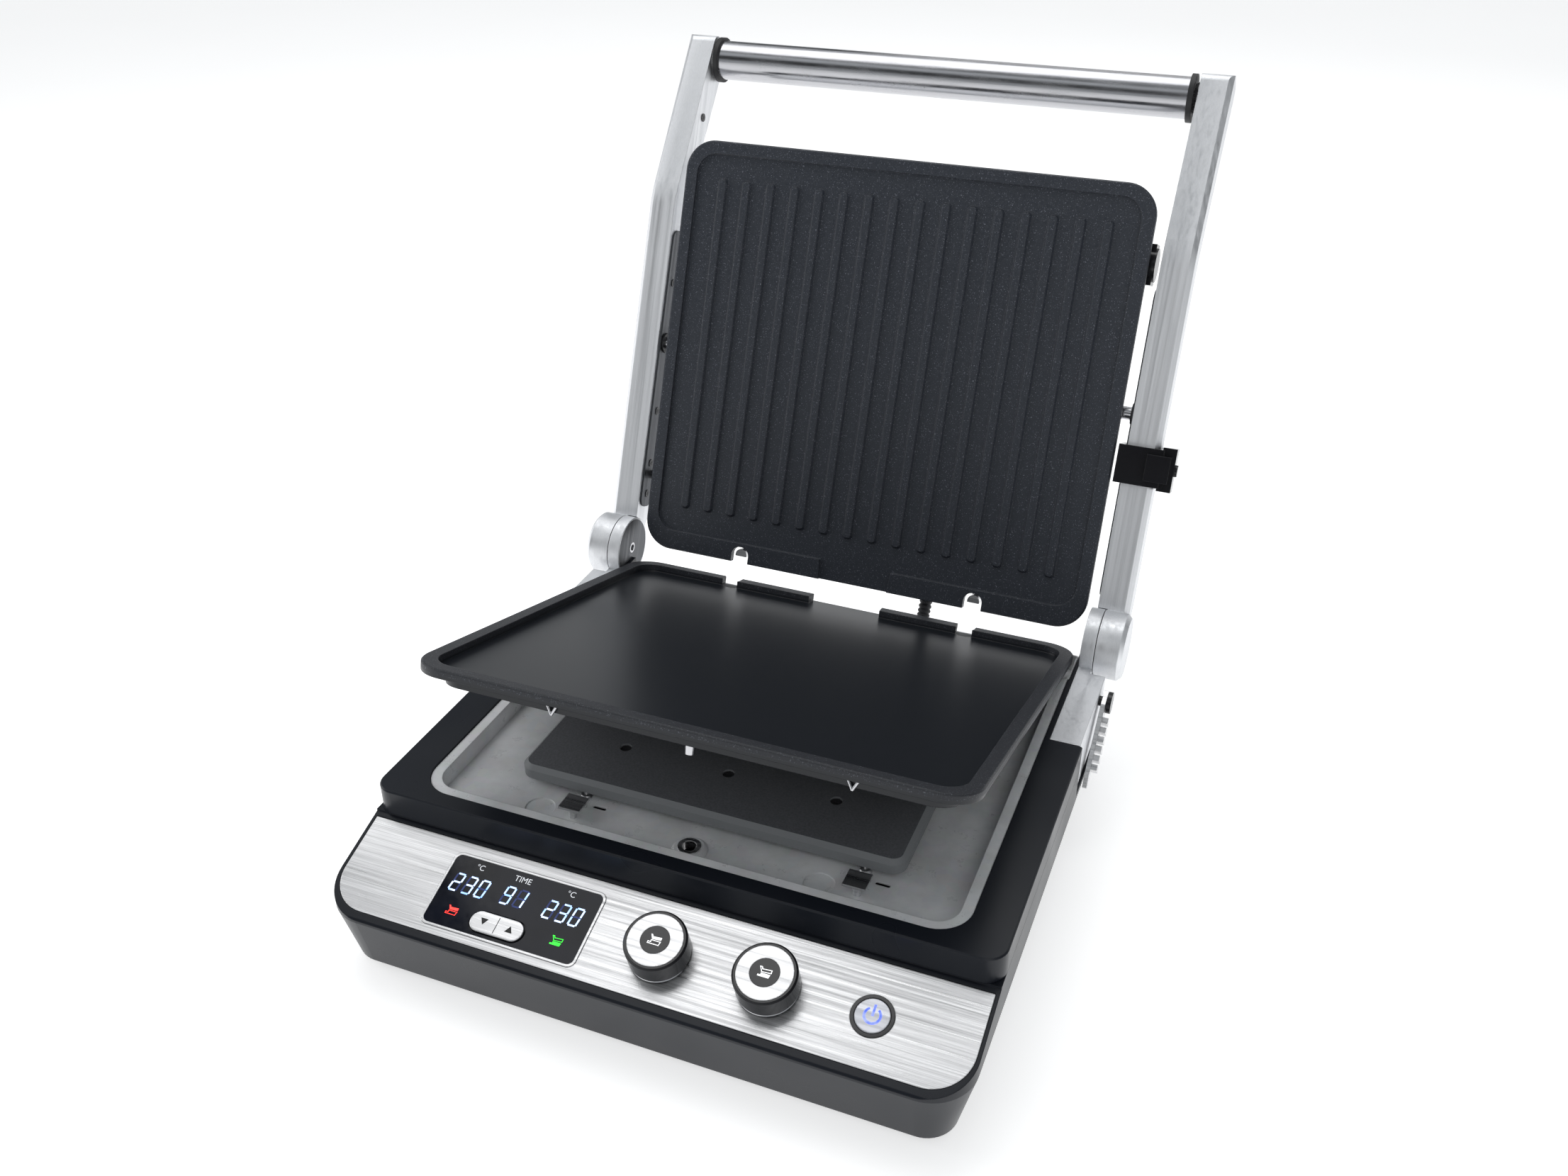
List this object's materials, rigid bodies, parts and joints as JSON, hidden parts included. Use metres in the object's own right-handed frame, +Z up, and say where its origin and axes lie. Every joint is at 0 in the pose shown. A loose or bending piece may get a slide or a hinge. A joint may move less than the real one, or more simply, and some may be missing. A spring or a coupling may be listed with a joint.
{
  "type": "panini press",
  "caption": "Open contact grill: hinged upper head with ribbed plate, lifted flat lower plate, control panel with display, knobs and power button, and a tubular handle on side arms.",
  "frame": {"origin": "middle of the bounding box seen from above, at the level the feet stand on", "axes": "+Z up, +Y from the control panel towards the hinge, +X to the right seen from the front"},
  "size_m": [0.367, 0.5078, 0.3852],
  "materials": {
    "black_plastic": "satin moulded black plastic",
    "mottled_steel": "stamped, mottled zinc-coated steel",
    "heater_cast": "matt dark grey cast heater plate",
    "nonstick_upper": "speckled blue-grey non-stick coating",
    "nonstick_lower": "smooth satin black non-stick coating",
    "brushed_panel": "horizontally brushed stainless steel",
    "arm_metal": "satin brushed cast aluminium",
    "dark_cover": "dark grey satin paint",
    "chrome": "polished steel",
    "tube_steel": "fine polished stainless tube",
    "gloss_black": "gloss black plastic",
    "display_glass": "gloss black display glass with lit digits",
    "silver_trim": "satin silver trim",
    "button_silver": "satin silver button with a lit symbol",
    "rubber": "black rubber",
    "screw_black": "black oxide screws",
    "hose_black": "black fluted cable conduit",
    "element_metal": "heating element sheath"
  },
  "bodies": {
    "base": {"base_housing": "black_plastic", "deck": "black_plastic", "feet": "rubber", "lower_pan": "mottled_steel", "locating_eyelet": "silver_trim", "plate_catches": "silver_trim", "catch_rivets": "silver_trim", "lower_heater_plate": "heater_cast", "lower_heater_standoffs": "element_metal", "lower_heater_screws": "screw_black", "lower_heating_element": "element_metal", "control_panel": "brushed_panel", "display_window": "display_glass", "display_bezel": "silver_trim", "knob_base_rings": "chrome", "power_collar": "gloss_black", "hinge_post_left": "arm_metal", "hinge_post_right": "arm_metal", "hinge_washers": "gloss_black", "cord_gland": "rubber", "cable_conduit": "hose_black", "lever_pivot": "gloss_black"},
    "release_lever": {"release_lever": "silver_trim"},
    "upper_heat_knob": {"knob_upper_heat": "gloss_black", "knob_upper_heat_cap": "silver_trim", "knob_upper_heat_badge": "gloss_black"},
    "lower_heat_knob": {"knob_lower_heat": "gloss_black", "knob_lower_heat_cap": "silver_trim", "knob_lower_heat_badge": "gloss_black"},
    "power_button": {"power_button": "button_silver"},
    "timer_rocker": {"timer_rocker": "silver_trim"},
    "lower_plate": {"lower_griddle_plate": "nonstick_lower", "plate_peg": "chrome", "plate_clips": "chrome"},
    "lid_arms": {"arm_left": "arm_metal", "arm_right": "arm_metal", "arm_cover_left": "dark_cover", "arm_cover_right": "dark_cover", "cover_screws": "screw_black", "pivot_collars": "screw_black", "hinge_pins": "chrome", "handle_tube": "tube_steel", "handle_rings": "rubber", "handle_bosses": "silver_trim"},
    "lid_lock": {"lock_slider": "gloss_black", "lock_push": "gloss_black", "lock_nub": "gloss_black"},
    "lid_head": {"head_shell": "arm_metal", "upper_pan": "mottled_steel", "upper_heater_plate": "heater_cast", "upper_heater_standoffs": "element_metal", "upper_heating_element": "element_metal", "pivot_pins": "chrome", "pivot_ears": "gloss_black", "lock_keeper": "gloss_black", "stop_pin": "gloss_black", "upper_hooks": "silver_trim", "conduit_flange": "gloss_black"},
    "upper_plate": {"upper_grill_plate": "nonstick_upper"}
  },
  "joints": [
    {"name": "lid_hinge", "type": "hinge", "parent": "base", "child": "lid_arms", "pos_m": [-0.0045, 0.0745, 0.0848], "axis": [-1, 0, 0], "range_deg": [-110.85, 0], "deforming": ["cable_conduit"]},
    {"name": "lower_plate_tilt", "type": "hinge", "parent": "base", "child": "lower_plate", "pos_m": [-0.0045, 0.0276, 0.0781], "axis": [-1, 0, 0], "range_deg": [-16.71, 0.01]},
    {"name": "head_float", "type": "hinge", "parent": "lid_arms", "child": "lid_head", "pos_m": [-0.0045, 0.14164, 0.20685], "axis": [1, 0, 0], "range_deg": [0, 4]},
    {"name": "upper_plate_release", "type": "hinge", "parent": "lid_head", "child": "upper_plate", "pos_m": [-0.0045, 0.09008, 0.08636], "axis": [1, 0, 0], "range_deg": [0, 12]},
    {"name": "lock_slide", "type": "slide", "parent": "lid_arms", "child": "lid_lock", "axis": [0, 0.3795, 0.9252], "range_m": [-0.03, 0.008]},
    {"name": "release_lever_turn", "type": "hinge", "parent": "base", "child": "release_lever", "pos_m": [-0.0045, 0.0351, 0.0705], "axis": [-1, 0, 0], "range_deg": [0, 20]},
    {"name": "upper_heat_turn", "type": "hinge", "parent": "base", "child": "upper_heat_knob", "pos_m": [0.006, -0.22667, 0.05563], "axis": [0, -0.3156, 0.9489], "continuous": true},
    {"name": "lower_heat_turn", "type": "hinge", "parent": "base", "child": "lower_heat_knob", "pos_m": [0.0631, -0.22667, 0.05563], "axis": [0, -0.3156, 0.9489], "continuous": true},
    {"name": "power_press", "type": "slide", "parent": "base", "child": "power_button", "axis": [0, 0.3156, -0.9489], "range_m": [0, 0.001], "stiffness_N_per_m": 300, "springref_m": -0.003},
    {"name": "timer_rock", "type": "hinge", "parent": "base", "child": "timer_rocker", "pos_m": [-0.0795, -0.23651, 0.04751], "axis": [0, 0.9489, 0.3156], "range_deg": [-2, 2], "stiffness_Nm_per_rad": 0.05}
  ],
  "couplings": [
    {"joint": "lower_plate_tilt", "follows": "lid_hinge", "ratio": 0.15065}
  ]
}
